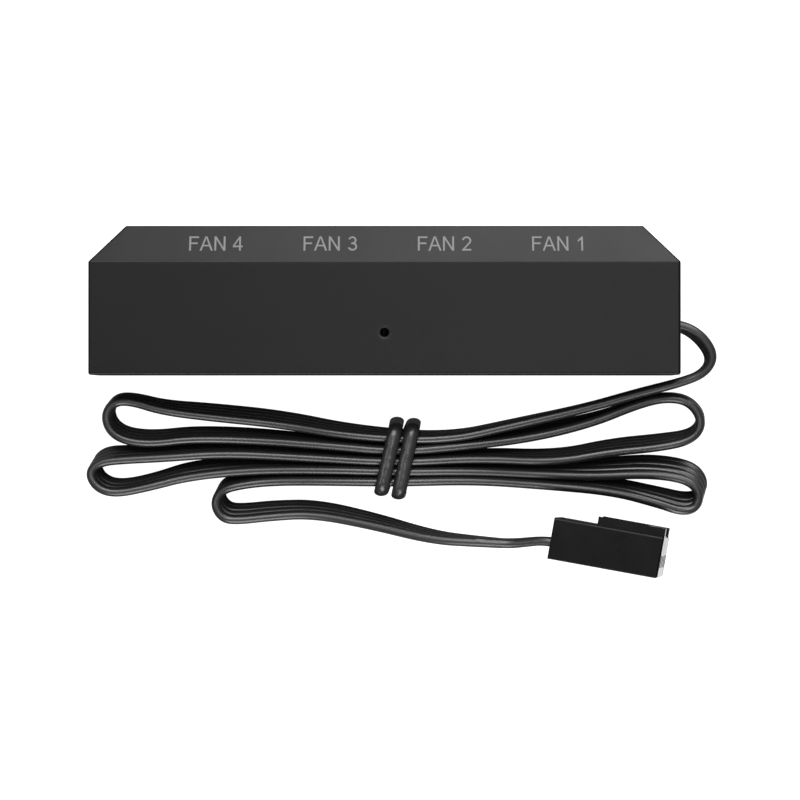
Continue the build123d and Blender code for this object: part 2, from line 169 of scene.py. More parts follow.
@dataclass(frozen=True)
class Finish:
    """A surface finish: fixed shader values with a grain, a mottle and a relief of real sizes.

    Attributes:
        name: The material's name.
        colour: Linear base colour.
        roughness: Middle roughness.
        specular: Specular level.
        metallic: 1 for bare metal.
        follows: Coordinates that the pattern follows.
        stretch: Scale of the pattern along each coordinate.
        grain: Size of the fine grain, in metres.
        relief: Height of the fine grain, in metres.
        grain_layers: Finer layers of noise in the grain.
        mottle_size: Size of the broad colour variation, in metres.
        mottle_layers: Finer layers of noise in that variation.
        mottle: Share by which the colour varies.
        unevenness: Amount by which the roughness varies.
    """

    name: str
    colour: Colour
    roughness: float
    specular: float = 0.5
    metallic: float = 0.0
    follows: Coordinates = Coordinates.OBJECT
    stretch: Point = (1.0, 1.0, 1.0)
    grain: float = 0.00015
    relief: float = 0.000003
    grain_layers: float = 2.0
    mottle_size: float = 0.006
    mottle_layers: float = 3.0
    mottle: float = 0.08
    unevenness: float = 0.05

    def shade(self, share: float) -> Colour:
        """The base colour times a share."""
        return tuple(channel * share for channel in self.colour)

    def place(self, bench: NodeBench) -> bpy.types.NodeSocket:
        """Adds the pattern's coordinates.

        Args:
            bench: Tree being wired.

        Returns:
            The stretched coordinates.
        """
        source = bench.add("ShaderNodeTexCoord")
        mapping = bench.add("ShaderNodeMapping")
        mapping.inputs["Scale"].default_value = self.stretch
        bench.join(source.outputs[self.follows.value], mapping.inputs["Vector"])
        return mapping.outputs["Vector"]

    def pattern(self, bench: NodeBench, shader: bpy.types.Node) -> None:
        """Wires mottle, roughness and grain into the shader.

        Args:
            bench: Tree being wired.
            shader: The surface's shader.
        """
        place = self.place(bench)
        broad = bench.noise(place, self.mottle_size, self.mottle_layers)
        fine = bench.noise(place, self.grain, self.grain_layers)
        colour = bench.tint(
            bench.spread(broad, 0.0, 1.0), self.shade(1.0 - self.mottle), self.shade(1.0 + self.mottle)
        )
        uneven = bench.spread(broad, self.roughness - self.unevenness, self.roughness + self.unevenness)
        bench.join(colour, shader.inputs["Base Color"])
        bench.join(uneven, shader.inputs["Roughness"])
        bench.join(bench.bump(fine, self.relief), shader.inputs["Normal"])

    def make(self) -> bpy.types.Material:
        """Builds the material.

        Returns:
            The new material.
        """
        material = bpy.data.materials.new(self.name)
        material.use_nodes = True
        shader = material.node_tree.nodes["Principled BSDF"]
        shader.inputs["Specular IOR Level"].default_value = self.specular
        shader.inputs["Metallic"].default_value = self.metallic
        self.pattern(NodeBench(material.node_tree), shader)
        log.info("finish %s", self.name)
        return material


@dataclass(frozen=True)
class HighlightRingFinish(Finish):
    """A finish with a pale ring painted round one hole, a painted highlight for the light that the
    hole's countersink catches.

    Attributes:
        hole: Place of the hole in plan.
        rim_radius: Middle radius of the countersink.
        rim_spread: Half its width.
        rim_highlight_colour: Linear colour of the painted highlight on the countersink.
    """

    hole: PlanPoint = (0.0, 0.0)
    rim_radius: float = 0.00067
    rim_spread: float = 0.00014
    rim_highlight_colour: Colour = (0.03, 0.03, 0.03)

    def pattern(self, bench: NodeBench, shader: bpy.types.Node) -> None:
        """Wires the pattern, then paints a pale ring over it as a painted highlight on the countersink.

        Args:
            bench: Tree being wired.
            shader: The surface's shader.
        """
        super().pattern(bench, shader)
        plain = shader.inputs["Base Color"].links[0].from_socket
        flat = bench.add("ShaderNodeVectorMath", operation="MULTIPLY_ADD")
        flat.inputs[1].default_value = PLAN_ONLY
        flat.inputs[2].default_value = (-self.hole[0], -self.hole[1], 0.0)
        radius = bench.add("ShaderNodeVectorMath", operation="LENGTH")
        near = bench.add("ShaderNodeMath", operation="COMPARE")
        near.inputs[1].default_value = self.rim_radius
        near.inputs[2].default_value = self.rim_spread
        # Pale ring round the hole: painted highlight for light caught by the countersink, not the
        # plastic's own colour.
        paint = bench.add("ShaderNodeMixRGB")
        paint.inputs["Color2"].default_value = (*self.rim_highlight_colour, 1.0)
        source = bench.add("ShaderNodeTexCoord")
        bench.join(source.outputs[self.follows.value], flat.inputs[0])
        bench.join(flat.outputs["Vector"], radius.inputs[0])
        bench.join(radius.outputs["Value"], near.inputs[0])
        bench.join(near.outputs["Value"], paint.inputs["Fac"])
        bench.join(plain, paint.inputs["Color1"])
        bench.join(paint.outputs["Color"], shader.inputs["Base Color"])


# The shell's pale ring round the indicator hole is a painted highlight.
SHELL = HighlightRingFinish(
    "satin_black_shell", (0.0026, 0.0026, 0.00266), 0.34, specular=0.2, mottle=0.04, unevenness=0.015,
    hole=(0.0, -0.00372),
)
LABEL = Finish(
    "grey_label_ink", (0.17, 0.17, 0.17), 0.6, grain=0.00006, relief=0.000002, mottle_size=0.0006,
)
CABLE = Finish(
    "black_cable_pvc", (0.012, 0.012, 0.0122), 0.33, specular=0.7, follows=Coordinates.UV,
    stretch=(0.12, 1.0, 1.0), grain=0.0004, relief=0.000006, mottle_size=0.002, mottle=0.15,
)
TIE = Finish(
    "satin_black_tie", (0.013, 0.013, 0.0132), 0.30, specular=0.7, grain=0.0014, relief=0.00016,
)
PLUG = Finish(
    "black_plug_nylon", (0.002, 0.002, 0.0021), 0.30, specular=0.15, grain=0.0003, relief=0.000004,
    mottle_size=0.0025,
)
NYLON = Finish("natural_header_nylon", (0.74, 0.71, 0.62), 0.42)
PLATING = Finish("bright_pin_plating", (0.78, 0.76, 0.71), 0.22, metallic=1.0, stretch=(1.0, 0.15, 1.0))
BOARD = Finish("green_board_resist", (0.015, 0.10, 0.04), 0.3, mottle_size=0.0012, mottle=0.2)
CERAMIC = Finish("black_chip_ceramic", (0.03, 0.03, 0.032), 0.3)
RESIN = Finish("smoky_led_resin", (0.002, 0.002, 0.0018), 0.3, specular=0.05)
SCREW = Finish("black_zinc_screw", (0.11, 0.11, 0.115), 0.34, metallic=1.0)
TIN = Finish("tinned_wire", (0.72, 0.70, 0.66), 0.3, metallic=1.0)


def dress(material: bpy.types.Material, names: Iterable[str]) -> None:
    """Gives CAD nodes one material in place of their own.

    Args:
        material: The finish.
        names: Names of the nodes.
    """
    for name in names:
        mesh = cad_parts[name].data
        mesh.materials.clear()
        mesh.materials.append(material)
        log.info("node %s dressed in %s", name, material.name)


def settle(
    piece: bpy.types.Object, stands_for: Sequence[str] = ()
) -> bpy.types.Object:
    """Adds a finished piece to the hub's body.

    Args:
        piece: Object at the origin, with its place in its mesh.
        stands_for: CAD nodes that the piece replaces.

    Returns:
        The same piece.
    """
    if piece.name not in bpy.context.scene.collection.objects:
        bpy.context.scene.collection.objects.link(piece)
    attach(piece, "root")
    if stands_for:
        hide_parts(*stands_for)
    log.info("piece %s, %d faces", piece.name, len(piece.data.polygons))
    return piece


def smooth_line(points: Sequence[Vector], resolution: int) -> np.ndarray:
    """Reads the points along a smooth spline.

    Args:
        points: Control points, in metres.
        resolution: Steps between control points.

    Returns:
        Points along the spline, one row each.
    """
    curve = bpy.data.curves.new("route", "CURVE")
    curve.dimensions = "3D"
    spline = curve.splines.new("NURBS")
    spline.points.add(len(points) - 1)
    for knot, point in zip(spline.points, points):
        knot.co = (*point, 1.0)
    spline.order_u = 3
    spline.use_endpoint_u = True
    spline.resolution_u = resolution
    carrier = bpy.data.objects.new("route", curve)
    mesh = bpy.data.meshes.new_from_object(carrier)
    line = np.array([vertex.co for vertex in mesh.vertices])
    bpy.data.meshes.remove(mesh)
    bpy.data.curves.remove(curve)
    return line


@dataclass
class RibbonLead:
    """Four-way ribbon lead, folded into a leaning hank of five runs on the floor.

    The route is in the cable's own frame, which starts on the floor below the slot in the end wall.

    Attributes:
        exit_y: Place of the slot across the hub.
        exit_height: Height of the ribbon's lower edge at the slot.
        conductors: Number of conductors.
        pitch: Pitch of the conductors across the ribbon.
        thickness: Thickness over a conductor.
        groove_angle: Angle on a conductor at which the web to the next one starts, in radians.
        lean: Farthest that the upper edge stands from the lower edge, along and across.
        leans: Numbers of points along the route, each with the share of that lean there.
        tie_lift: Height of the runs where the tie passes under them.
        tie_lean: Share of the lean where the tie holds the runs.
        tail_rise: Height of the ribbon's lower edge at the plug.
        length: Real length with the split ends, in metres; not used.
        resolution: Steps between control points.
        lobe_steps: Steps round each conductor's half section.
        lead: Route from the slot to the tie.
        hank: Route of the folded runs.
        tail: Route from the last fold to the plug.
        lead_ramp: Where the lead's rise to the slot starts and ends, across the cable's frame.
        hank_ramp: Where the rises to the tie start and end, along the cable's frame.
        tail_ramp: Where the tail's rise to the plug starts and ends, along the cable's frame.
        origin: The cable's frame.
    """

    exit_y: float = -0.0027
    exit_height: float = 0.0030
    conductors: int = 4
    pitch: float = 0.0012
    thickness: float = 0.0011
    groove_angle: float = math.radians(32.0)
    lean: PlanPoint = (-0.0008, -0.0019)
    leans: Sequence[tuple[int, float]] = (
        (0, 0.0), (2, -0.25), (3, -0.2), (5, 0.0), (7, 0.05), (9, 0.3), (10, 0.55), (11, 0.72),
        (12, 0.74), (13, 0.5), (14, 0.35), (15, 0.35), (16, 0.5), (19, 0.72), (21, 0.62), (22, 0.4),
        (23, 0.3), (24, 0.46), (25, 0.75), (26, 0.45), (27, 0.15), (29, 0.15), (32, 0.75), (33, 0.74),
        (34, 0.6), (35, 0.5), (36, 0.25), (37, 0.4), (38, 0.55), (41, 0.9), (43, 0.75), (45, 0.7),
        (46, 1.0), (47, 0.7), (48, 0.35), (49, 0.15), (50, 0.25), (51, 0.65), (52, 1.1), (53, 1.24),
        (56, 1.05), (57, 1.2), (58, 1.15), (59, 0.9), (60, 0.74), (61, 0.6), (62, 0.25), (63, 0.15),
        (64, 0.3), (65, 0.55), (69, 0.9), (70, 0.95), (71, 0.92), (73, 0.6), (75, 0.1), (76, 0.0),
    )
    tie_lift: float = 0.00125
    tie_lean: float = 0.15
    tail_rise: float = 0.0033
    length: float = 0.398
    resolution: int = 9
    lobe_steps: int = 6
    lead: Sequence[PlanPoint] = (
        (-0.0010, 0.0), (0.0007, -0.0001), (0.0030, -0.00165), (0.0043, -0.00385),
        (0.0032, -0.00575), (0.0003, -0.0068), (-0.0043, -0.00795), (-0.0105, -0.00975),
        (-0.0185, -0.0115), (-0.0270, -0.01337),
    )
    hank: Sequence[PlanPoint] = (
        (-0.0378, -0.0126), (-0.0460, -0.01105), (-0.0544, -0.0102), (-0.0600, -0.00965),
        (-0.0635, -0.00865), (-0.06555, -0.0087), (-0.06655, -0.0102), (-0.06595, -0.0120),
        (-0.0642, -0.01305), (-0.0610, -0.01335), (-0.0565, -0.0128), (-0.0490, -0.0130),
        (-0.0405, -0.01378), (-0.0324, -0.01462), (-0.0245, -0.01382), (-0.0165, -0.01265),
        (-0.0095, -0.0111), (-0.0046, -0.00925), (-0.0012, -0.00835), (0.00175, -0.0088),
        (0.00335, -0.0111), (0.0021, -0.0131), (-0.0020, -0.0138), (-0.0075, -0.0143),
        (-0.0140, -0.0156), (-0.0230, -0.0152), (-0.0324, -0.01595), (-0.0430, -0.0152),
        (-0.0525, -0.0146), (-0.0600, -0.01505), (-0.0640, -0.01515), (-0.0671, -0.01535),
        (-0.06835, -0.0167), (-0.06745, -0.0185), (-0.06535, -0.0192), (-0.0615, -0.01845),
        (-0.0565, -0.01695), (-0.0490, -0.01645), (-0.0405, -0.0167), (-0.0324, -0.0171),
        (-0.0240, -0.0169), (-0.0160, -0.0170), (-0.0090, -0.0169), (-0.0040, -0.01655),
        (-0.0004, -0.0168), (0.0021, -0.0175), (0.0032, -0.01895), (0.00285, -0.0205),
        (0.0012, -0.02105), (-0.0020, -0.02015), (-0.0072, -0.0189), (-0.0150, -0.0183),
        (-0.0235, -0.01795), (-0.0324, -0.01825), (-0.0400, -0.01805), (-0.0465, -0.01785),
        (-0.0503, -0.01815), (-0.05295, -0.01875), (-0.0537, -0.02045), (-0.0527, -0.0220),
        (-0.0508, -0.02215),
    )
    tail: Sequence[PlanPoint] = (
        (-0.0472, -0.02175), (-0.0422, -0.02155), (-0.0355, -0.0229), (-0.0284, -0.0248),
        (-0.0234, -0.02525), (-0.0204, -0.02545),
    )
    lead_ramp: PlanPoint = (-0.0094, -0.0024)
    hank_ramp: Sequence[float] = (-0.0460, -0.0370, -0.0278, -0.0175)
    tail_ramp: PlanPoint = (-0.0400, -0.0260)
    origin: Vector = field(init=False)

    def __post_init__(self) -> None:
        """Finds the cable's frame at the hub's end wall."""
        self.origin = Vector((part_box("housing")[1].x, self.exit_y, 0.0))

    @property
    def width(self) -> float:
        """Width over all conductors."""
        return self.conductors * self.pitch

    def lower_edge(self) -> list[Vector]:
        """Places the route's points at the height of the ribbon's lower edge.

        Returns:
            Points in the row frame, with no lean.
        """
        lift = self.tie_lift
        heights = [np.interp(y, self.lead_ramp, (lift, self.exit_height)) for _, y in self.lead]
        heights += [np.interp(x, self.hank_ramp, (0.0, lift, lift, 0.0)) for x, _ in self.hank]
        heights += [np.interp(x, self.tail_ramp, (0.0, self.tail_rise)) for x, _ in self.tail]
        plan = (*self.lead, *self.hank, *self.tail)
        return [self.origin + Vector((*point, height)) for point, height in zip(plan, heights)]

    def lean_shares(self) -> np.ndarray:
        """Share of the full lean at each point of the route."""
        numbers, shares = zip(*self.leans)
        return np.interp(range(numbers[-1] + 1), numbers, shares)

    def half_width(self, share: float) -> Vector:
        """Vector from the ribbon's middle to its upper edge.

        Args:
            share: Share of the full lean.

        Returns:
            The vector, half the ribbon's width long.
        """
        along, across = (side * share for side in self.lean)
        height = math.sqrt(self.width**2 - along**2 - across**2)
        return Vector((along, across, height)) / 2

    def section(self) -> list[PlanPoint]:
        """Outline of the ribbon's section: round conductors joined by a thin web.

        Returns:
            Points as shares of the half width and distances in thickness, in order round the section.
        """
        upper = []
        for number in range(self.conductors):
            middle = (number - (self.conductors - 1) / 2) * self.pitch
            start = math.pi if number == 0 else math.pi - self.groove_angle
            stop = 0.0 if number == self.conductors - 1 else self.groove_angle
            for angle in np.linspace(start, stop, self.lobe_steps * 2 + 1):
                across = middle + math.cos(angle) * self.pitch / 2
                upper.append((2 * across / self.width, math.sin(angle) * self.thickness / 2))
        lower = [(share, -depth) for share, depth in reversed(upper[1:-1])]
        return upper + lower

    def mesh(self, centre: np.ndarray, edge: np.ndarray) -> bpy.types.Mesh:
        """Sweeps the section along the ribbon's middle.

        Args:
            centre: Points down the ribbon's middle.
            edge: Points along its upper edge, one for each of those.

        Returns:
            A closed mesh with a UV map that runs along the ribbon and round its section, in metres.
        """
        ahead = np.gradient(centre, axis=0)
        up = edge - centre
        side = np.cross(ahead, up)
        side /= np.linalg.norm(side, axis=1)[:, None]
        section = np.array(self.section())
        rings = centre[:, None] + up[:, None] * section[:, :1] + side[:, None] * section[:, 1:]
        steps = np.linalg.norm(np.diff(centre, axis=0), axis=1)
        along = np.concatenate([[0.0], np.cumsum(steps)])
        around = np.linspace(0.0, 2 * (self.width + self.thickness), len(section) + 1)
        count = len(section)
        faces = []
        uv = []
        for ring in range(len(rings) - 1):
            for point in range(count):
                after = (point + 1) % count
                near, far = ring * count, (ring + 1) * count
                faces.append((near + point, near + after, far + after, far + point))
                uv += [
                    (along[ring], around[point]), (along[ring], around[point + 1]),
                    (along[ring + 1], around[point + 1]), (along[ring + 1], around[point]),
                ]
        ends = len(rings) * count
        faces.append(tuple(range(ends + count - 1, ends - 1, -1)))
        faces.append(tuple(range(ends + count, ends + 2 * count)))
        uv += [(0.0, place) for place in around[:0:-1]]
        uv += [(along[-1], place) for place in around[:-1]]
        mesh = bpy.data.meshes.new("ribbon_lead")
        points = np.concatenate([*rings, rings[0], rings[-1]])
        mesh.from_pydata(points.tolist(), [], faces)
        layer = mesh.uv_layers.new(name="along_ribbon")
        layer.data.foreach_set("uv", np.array(uv, np.float32).ravel())
        mesh.polygons.foreach_set("use_smooth", [True] * (len(faces) - 2) + [False] * 2)
        return mesh

    def build(
        self, finish: bpy.types.Material, on_lead: Sequence[bpy.types.Object]
    ) -> bpy.types.Object:
        """Args:
            finish: The insulation's material.
            on_lead: Pieces on the lead: tie, split wires and plug; not used.

        Returns:
            The ribbon's object.
        """
        halves = [self.half_width(share) for share in self.lean_shares()]
        middle = [low + Vector((0.0, 0.0, half.z)) for low, half in zip(self.lower_edge(), halves)]
        top = [point + half for point, half in zip(middle, halves)]
        centre = smooth_line(middle, self.resolution)
        edge = smooth_line(top, self.resolution)
        ribbon = bpy.data.objects.new("ribbon_lead", self.mesh(centre, edge))
        ribbon.data.materials.append(finish)
        settle(ribbon, ("cable_lead", "cable_hank", "cable_tail"))
        return ribbon


@dataclass
class BentWire:
    """Geometry node tree that turns bent paths into wire, with its sizes as named inputs.

    Attributes:
        name: The tree's name.
        sides: Steps round the wire.
        bend_steps: Steps round each bend.
        unit_radius: Radius of a circle that is one unit across.
    """

    name: str = "bent_wire"
    sides: int = 20
    bend_steps: int = 8
    unit_radius: float = 0.5

    def tree(self) -> bpy.types.NodeTree:
        """Builds the tree.

        Returns:
            The node group, with inputs for the path, the sizes, the broad way and the finish.
        """
        group = bpy.data.node_groups.new(self.name, "GeometryNodeTree")
        kinds = {
            "Path": "Geometry", "Width": "Float", "Thickness": "Float", "Bend Radius": "Float",
            "Broad Way": "Vector", "Finish": "Material",
        }
        for socket, kind in kinds.items():
            group.interface.new_socket(socket, in_out="INPUT", socket_type=f"NodeSocket{kind}")
        group.interface.new_socket("Wire", in_out="OUTPUT", socket_type="NodeSocketGeometry")
        bench = NodeBench(group)
        given = bench.add("NodeGroupInput")
        to_curve = bench.add("GeometryNodeMeshToCurve")
        bends = bench.add("GeometryNodeFilletCurve", mode="POLY")
        bends.inputs["Count"].default_value = self.bend_steps
        bends.inputs["Limit Radius"].default_value = True
        facing = bench.add("GeometryNodeSetCurveNormal", mode="FREE")
        circle = bench.add("GeometryNodeCurvePrimitiveCircle")
        circle.inputs["Resolution"].default_value = self.sides
        circle.inputs["Radius"].default_value = self.unit_radius
        sizes = bench.add("ShaderNodeCombineXYZ")
        section = bench.add("GeometryNodeTransform")
        sweep = bench.add("GeometryNodeCurveToMesh")
        sweep.inputs["Fill Caps"].default_value = True
        smooth = bench.add("GeometryNodeSetShadeSmooth")
        realize = bench.add("GeometryNodeRealizeInstances")
        paint = bench.add("GeometryNodeSetMaterial")
        result = bench.add("NodeGroupOutput")
        bench.join(given.outputs["Path"], to_curve.inputs["Mesh"])
        bench.join(to_curve.outputs["Curve"], bends.inputs["Curve"])
        bench.join(given.outputs["Bend Radius"], bends.inputs["Radius"])
        bench.join(bends.outputs["Curve"], facing.inputs["Curve"])
        bench.join(given.outputs["Broad Way"], facing.inputs["Normal"])
        bench.join(given.outputs["Width"], sizes.inputs["X"])
        bench.join(given.outputs["Thickness"], sizes.inputs["Y"])
        bench.join(circle.outputs["Curve"], section.inputs["Geometry"])
        bench.join(sizes.outputs["Vector"], section.inputs["Scale"])
        bench.join(facing.outputs["Curve"], sweep.inputs["Curve"])
        bench.join(section.outputs["Geometry"], sweep.inputs["Profile Curve"])
        bench.join(sweep.outputs["Mesh"], smooth.inputs["Geometry"])
        bench.join(smooth.outputs["Geometry"], realize.inputs["Geometry"])
        bench.join(realize.outputs["Geometry"], paint.inputs["Geometry"])
        bench.join(given.outputs["Finish"], paint.inputs["Material"])
        bench.join(paint.outputs["Geometry"], result.inputs["Wire"])
        return group

    def make(
        self, name: str, paths: Sequence[Sequence[Vector]], size: tuple[float, float], bend: float,
        broad_way: Vector, finish: bpy.types.Material,
    ) -> bpy.types.Object:
        """Makes one piece of wire from its paths.

        Args:
            name: The piece's name.
            paths: Corner points of each wire.
            size: The wire's width and thickness.
            bend: Radius of its bends.
            broad_way: Direction of its width.
            finish: Its material.

        Returns:
            An object with a plain mesh.
        """
        corners = [tuple(point) for path in paths for point in path]
        edges = []
        for path in paths:
            first = edges[-1][1] + 1 if edges else 0
            edges += [(first + step, first + step + 1) for step in range(len(path) - 1)]
        lines = bpy.data.meshes.new(f"{name}_paths")
        lines.from_pydata(corners, edges, [])
        carrier = bpy.data.objects.new(f"{name}_paths", lines)
        bpy.context.scene.collection.objects.link(carrier)
        modifier = carrier.modifiers.new(self.name, "NODES")
        modifier.node_group = self.tree()
        values = {
            "Width": size[0], "Thickness": size[1], "Bend Radius": bend, "Broad Way": broad_way,
            "Finish": finish,
        }
        for item in modifier.node_group.interface.items_tree:
            if item.name in values:
                modifier[item.identifier] = values[item.name]
        shown = carrier.evaluated_get(bpy.context.evaluated_depsgraph_get())
        mesh = bpy.data.meshes.new_from_object(shown)
        mesh.name = name
        bpy.data.objects.remove(carrier)
        return bpy.data.objects.new(name, mesh)


@dataclass
class TwistTie:
    """Coated strip wound twice round the hank, leaning with the runs that it holds.

    Attributes:
        width: The strip's width along the hank.
        thickness: Its thickness.
        clearance: Gap between the strip and the runs.
        along: Middle of the two turns, along the cable's frame.
        across: Middle of the two turns, across the cable's frame.
        run_spread: Distance over the middles of the outer runs.
        rear_slack: How far the strip's rear side stands off at its foot.
        front_slack: How far its last end stands off in front.
        pitch: Distance between the two turns.
        slant: How far each turn runs along the hank as it crosses it.
        bend: Radius of the bends.
        end_lift: Height of the two ends.
    """

    width: float = 0.0017
    thickness: float = 0.00105
    clearance: float = 0.0001
    along: float = -0.0325
    across: float = -0.01559
    run_spread: float = 0.0052
    rear_slack: float = 0.0004
    front_slack: float = 0.0004
    pitch: float = 0.0020
    slant: float = 0.0017
    bend: float = 0.0012
    end_lift: float = 0.0009

    def path(self, lead: RibbonLead) -> list[Vector]:
        """Corners of the strip's path.

        Args:
            lead: The ribbon that it holds.

        Returns:
            Corner points in the row frame.
        """
        half = lead.half_width(lead.tie_lean)
        span = self.run_spread + lead.thickness + self.thickness + 2 * self.clearance
        low = self.thickness / 2
        high = lead.tie_lift + 2 * half.z + self.clearance + self.thickness / 2
        back, front = self.across + span / 2, self.across - span / 2
        foot, loose = back + self.rear_slack, front - self.front_slack
        near, far = self.along - self.pitch / 2, self.along + self.pitch / 2
        turn = self.slant / 2
        corners = [
            (near + turn, foot, self.end_lift), (near + turn, back, high), (near - turn, front, high),
            (near - turn, front, low), (far + turn, foot, low), (far + turn, back, high),
            (far - turn, loose, high), (far - turn, loose, self.end_lift),
        ]
        middle = lead.tie_lift + half.z
        placed = []
        for corner in corners:
            share = (corner[2] - middle) / half.z
            placed.append(lead.origin + Vector(corner) + Vector((half.x, half.y, 0.0)) * share)
        return placed

    def build(self, lead: RibbonLead, finish: bpy.types.Material) -> bpy.types.Object:
        """Builds the tie.

        Args:
            lead: The ribbon that it holds.
            finish: Its material.

        Returns:
            The tie's object.
        """
        strip = BentWire().make(
            "twist_tie_strip", [self.path(lead)], (self.width, self.thickness), self.bend,
            Vector((1.0, 0.0, 0.0)), finish,
        )
        return settle(strip, ("twist_tie",))


@dataclass
class FanPlug:
    """Four-way plug on the lead's free end, with the conductors split into its cavities.

    Attributes:
        along: Place of the plug's rear end, along the cable's frame.
        across: Place of the plug's rear end, across the cable's frame.
        yaw: Turn about the vertical, in degrees.
        tilt: Turn about its own crosswise axis, in degrees.
        pitch: Pitch of the cavities.
        row_offset: Place of the row of cavities across the plug's thickness.
        wire_diameter: Diameter of a split conductor.
        wire_root: How far back each conductor starts inside the ribbon.
        wire_lead: Straight length before each bend.
        wire_bend: Radius of the bends.
        wire_depth: How far each conductor reaches into its cavity.
    """

    along: float = -0.01357
    across: float = -0.02495
    yaw: float = -10.1
    tilt: float = -7.0
    pitch: float = 0.00254
    row_offset: float = -0.0005
    wire_diameter: float = 0.00106
    wire_root: float = 0.0030
    wire_lead: float = 0.0010
    wire_bend: float = 0.0060
    wire_depth: float = 0.0024

    def place(self, lead: RibbonLead) -> Matrix:
        """Places the plug's rear end.

        Args:
            lead: The ribbon that ends in the plug.

        Returns:
            The plug's frame, in the row frame.
        """
        aside = Matrix.Rotation(math.radians(self.yaw), 4, "Z")
        nose_up = Matrix.Rotation(math.radians(self.tilt), 4, "Y")
        turn = aside @ nose_up
        return Matrix.Translation(lead.origin + Vector((self.along, self.across, 0.0))) @ turn

    def wire_paths(self, lead: RibbonLead) -> list[list[Vector]]:
        """Corners of the four split conductors.

        Args:
            lead: The ribbon that they split from.

        Returns:
            One list of corner points for each conductor, in the row frame.
        """
        before, end = (Vector((*point, 0.0)) for point in lead.tail[-2:])
        ahead = (end - before).normalized()
        place = self.place(lead)
        paths = []
        for number in range(lead.conductors):
            start = lead.origin + end + Vector((0.0, 0.0, lead.tail_rise + (number + 0.5) * lead.pitch))
            height = (number + 0.5) * self.pitch
            entry = place @ Vector((-self.wire_lead, self.row_offset, height))
            stop = place @ Vector((self.wire_depth, self.row_offset, height))
            paths.append([start - ahead * self.wire_root, start + ahead * self.wire_lead, entry, stop])
        return paths

    def build(self, lead: RibbonLead, finish: bpy.types.Material) -> bpy.types.Object:
        """Builds the split conductors.

        Args:
            lead: The ribbon that they split from.
            finish: The insulation's material.

        Returns:
            The conductors' object.
        """
        wires = BentWire().make(
            "split_wires", self.wire_paths(lead), (self.wire_diameter, self.wire_diameter),
            self.wire_bend, Vector((0.0, 0.0, 1.0)), finish,
        )
        return settle(wires, ("plug_wires",))


def bowl(middle: PlanPoint, radii: PlanPoint, start: float, stop: float) -> list[PlanPoint]:
    """Round stretch of a digit's outline.

    Args:
        middle: Middle of the bowl, in cap heights.
        radii: Half width and half height.
        start: First angle, in degrees.
        stop: Last angle, in degrees.

    Returns:
        Points along the bowl.
    """
    steps = math.ceil(abs(stop - start) / BOWL_STEP)
    angles = np.radians(np.linspace(start, stop, steps + 1))
    along = middle[0] + radii[0] * np.cos(angles)
    up = middle[1] + radii[1] * np.sin(angles)
    return list(zip(along.tolist(), up.tolist()))


@dataclass(frozen=True)
class Letter:
    """A printed character, drawn one unit high.

    Attributes:
        bearing: Blank to its left.
        advance: Distance to the next character.
        contours: Closed outlines, with holes after the outline that they are in.
    """

    bearing: float
    advance: float
    contours: Sequence[Sequence[PlanPoint]] = ()


LETTERS = {
    " ": Letter(0.0, 0.388),
    "F": Letter(0.115, 0.853, [[
        (0.0, 0.0), (0.0, 1.0), (0.675, 1.0), (0.675, 0.885), (0.132, 0.885), (0.132, 0.575),
        (0.6, 0.575), (0.6, 0.46), (0.132, 0.46), (0.132, 0.0),
    ]]),
    "A": Letter(0.0, 0.931, [
        [(0.0, 0.0), (0.39, 1.0), (0.53, 1.0), (0.935, 0.0), (0.79, 0.0), (0.68, 0.303), (0.245, 0.303),
         (0.14, 0.0)],
        [(0.286, 0.41), (0.64, 0.41), (0.46, 0.885)],
    ]),
    "N": Letter(0.106, 1.008, [[
        (0.0, 0.0), (0.0, 1.0), (0.136, 1.0), (0.648, 0.215), (0.648, 1.0), (0.78, 1.0), (0.78, 0.0),
        (0.644, 0.0), (0.132, 0.785), (0.132, 0.0),
    ]]),
    "1": Letter(0.152, 0.776, [[
        (0.245, 0.0), (0.369, 0.0), (0.369, 1.0), (0.289, 1.0), (0.0, 0.73), (0.0, 0.61), (0.245, 0.78),
    ]]),
    "2": Letter(0.042, 0.776, [[
        *bowl((0.335, 0.705), (0.33, 0.295), 172.0, -38.0), (0.2, 0.125), (0.66, 0.125), (0.66, 0.0),
        (0.0, 0.0), (0.0, 0.06), *bowl((0.335, 0.705), (0.205, 0.18), -38.0, 172.0),
    ]]),
    "3": Letter(0.059, 0.776, [[
        *bowl((0.32, 0.735), (0.29, 0.265), 165.0, -48.0),
        *bowl((0.325, 0.29), (0.335, 0.29), 48.0, -165.0),
        *bowl((0.325, 0.29), (0.21, 0.165), -165.0, 90.0), (0.25, 0.455), (0.25, 0.58),
        *bowl((0.32, 0.735), (0.165, 0.155), -90.0, 165.0),
    ]]),
    "4": Letter(0.018, 0.776, [
        [(0.435, 0.0), (0.56, 0.0), (0.56, 0.24), (0.69, 0.24), (0.69, 0.355), (0.56, 0.355),
         (0.56, 1.0), (0.455, 1.0), (0.0, 0.355), (0.0, 0.24), (0.435, 0.24)],
        [(0.435, 0.355), (0.435, 0.8), (0.122, 0.355)],
    ]),
}


